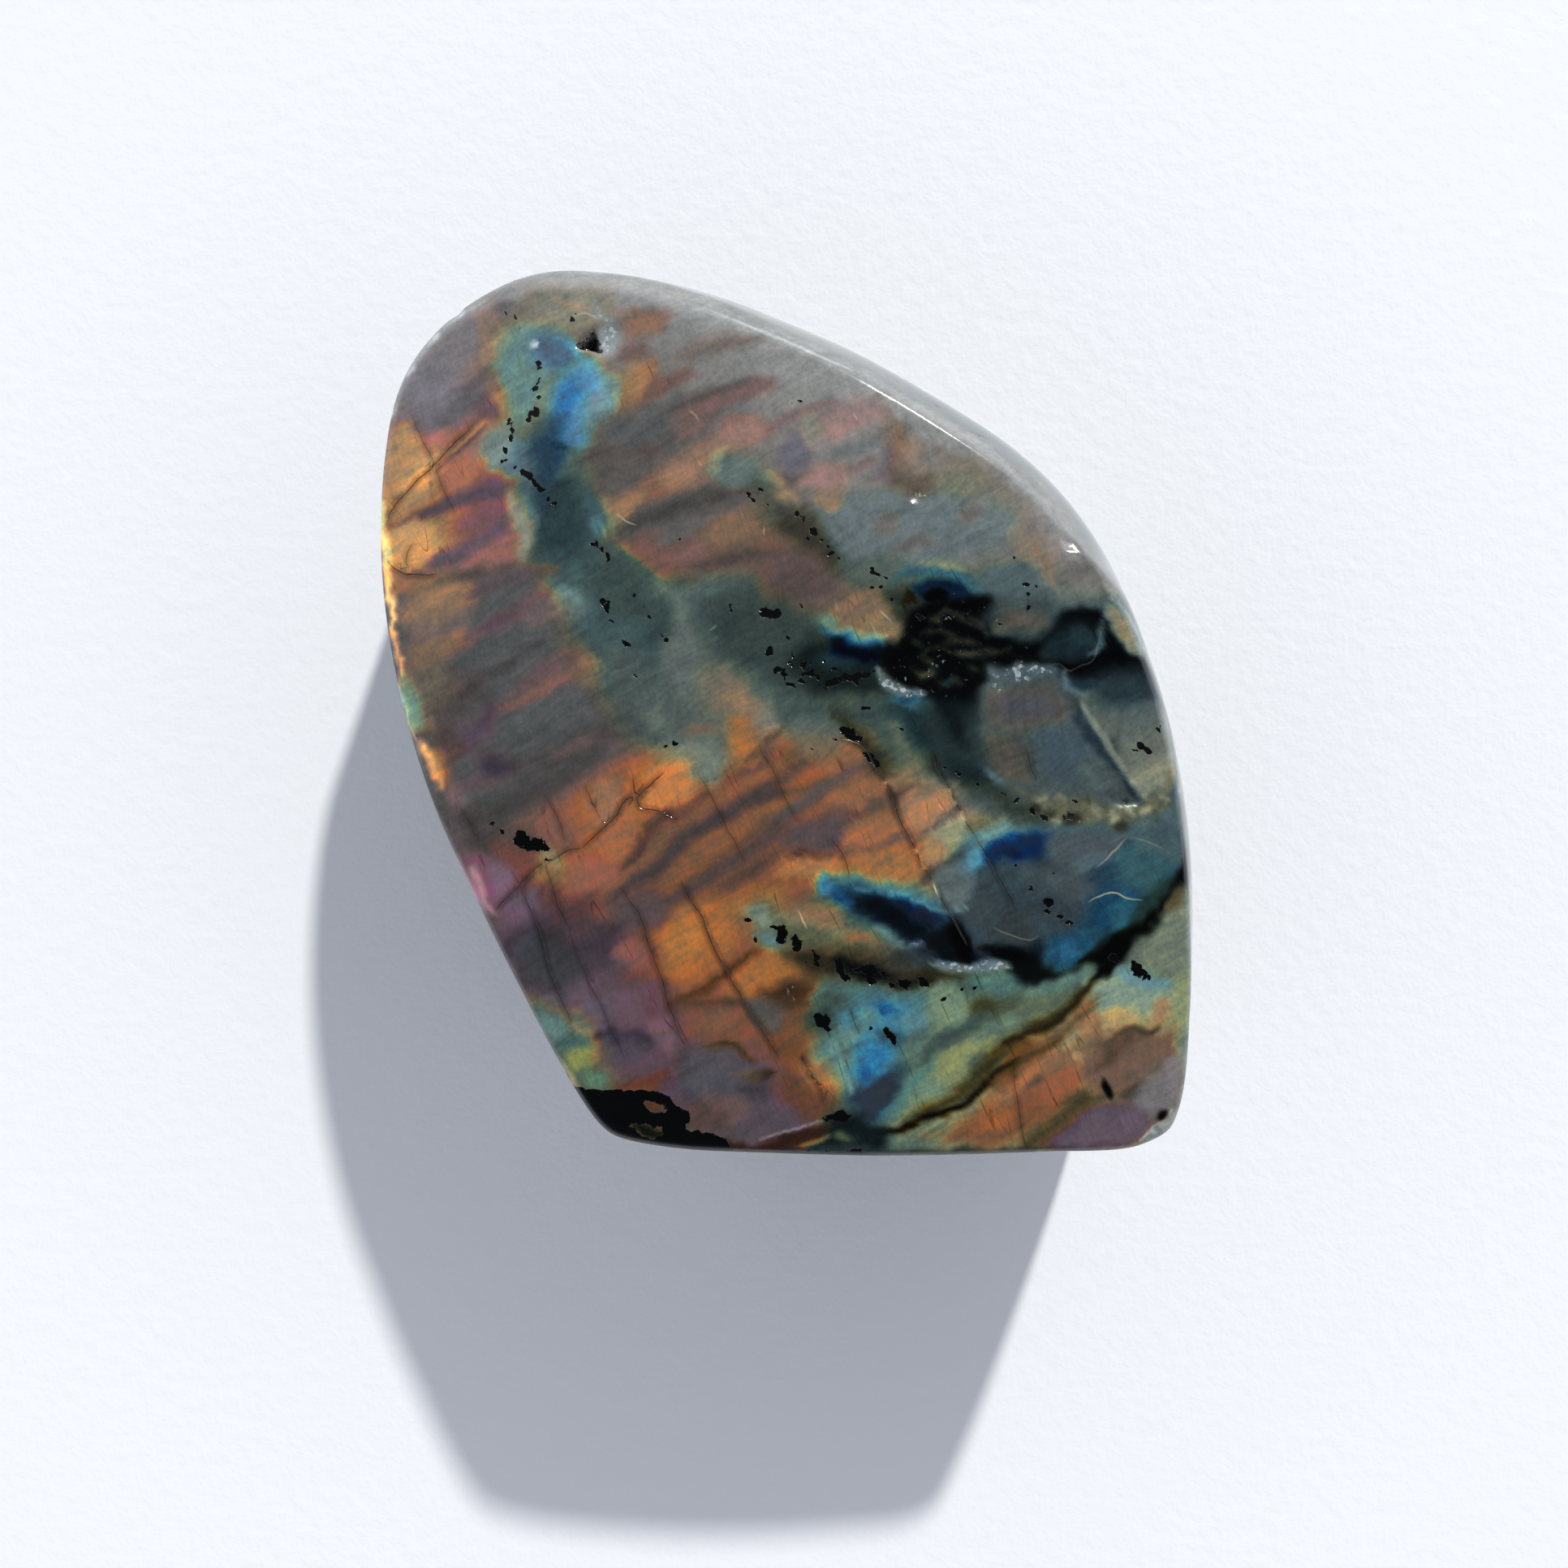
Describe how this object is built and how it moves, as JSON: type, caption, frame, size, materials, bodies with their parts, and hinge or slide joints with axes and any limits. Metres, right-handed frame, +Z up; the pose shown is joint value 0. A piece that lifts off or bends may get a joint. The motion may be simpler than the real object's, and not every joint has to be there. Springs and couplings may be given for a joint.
{
  "type": "labradorite freeform",
  "caption": "Palm-size polished labradorite freeform, an asymmetric rounded slab with one broad sloping shoulder, lying on its flat back with the colour-flashing face up.",
  "frame": {"origin": "on the resting plane, under the middle of the stone's width and length", "axes": "+Z up out of the colour-flashing face, +Y along the length from the nearly straight base to the rounded top, +X towards the broad sloping shoulder"},
  "size_m": [0.0852, 0.0932, 0.0384],
  "materials": {
    "polished_labradorite": "polished"
  },
  "bodies": {
    "root": {"stone": "polished_labradorite"}
  },
  "joints": []
}
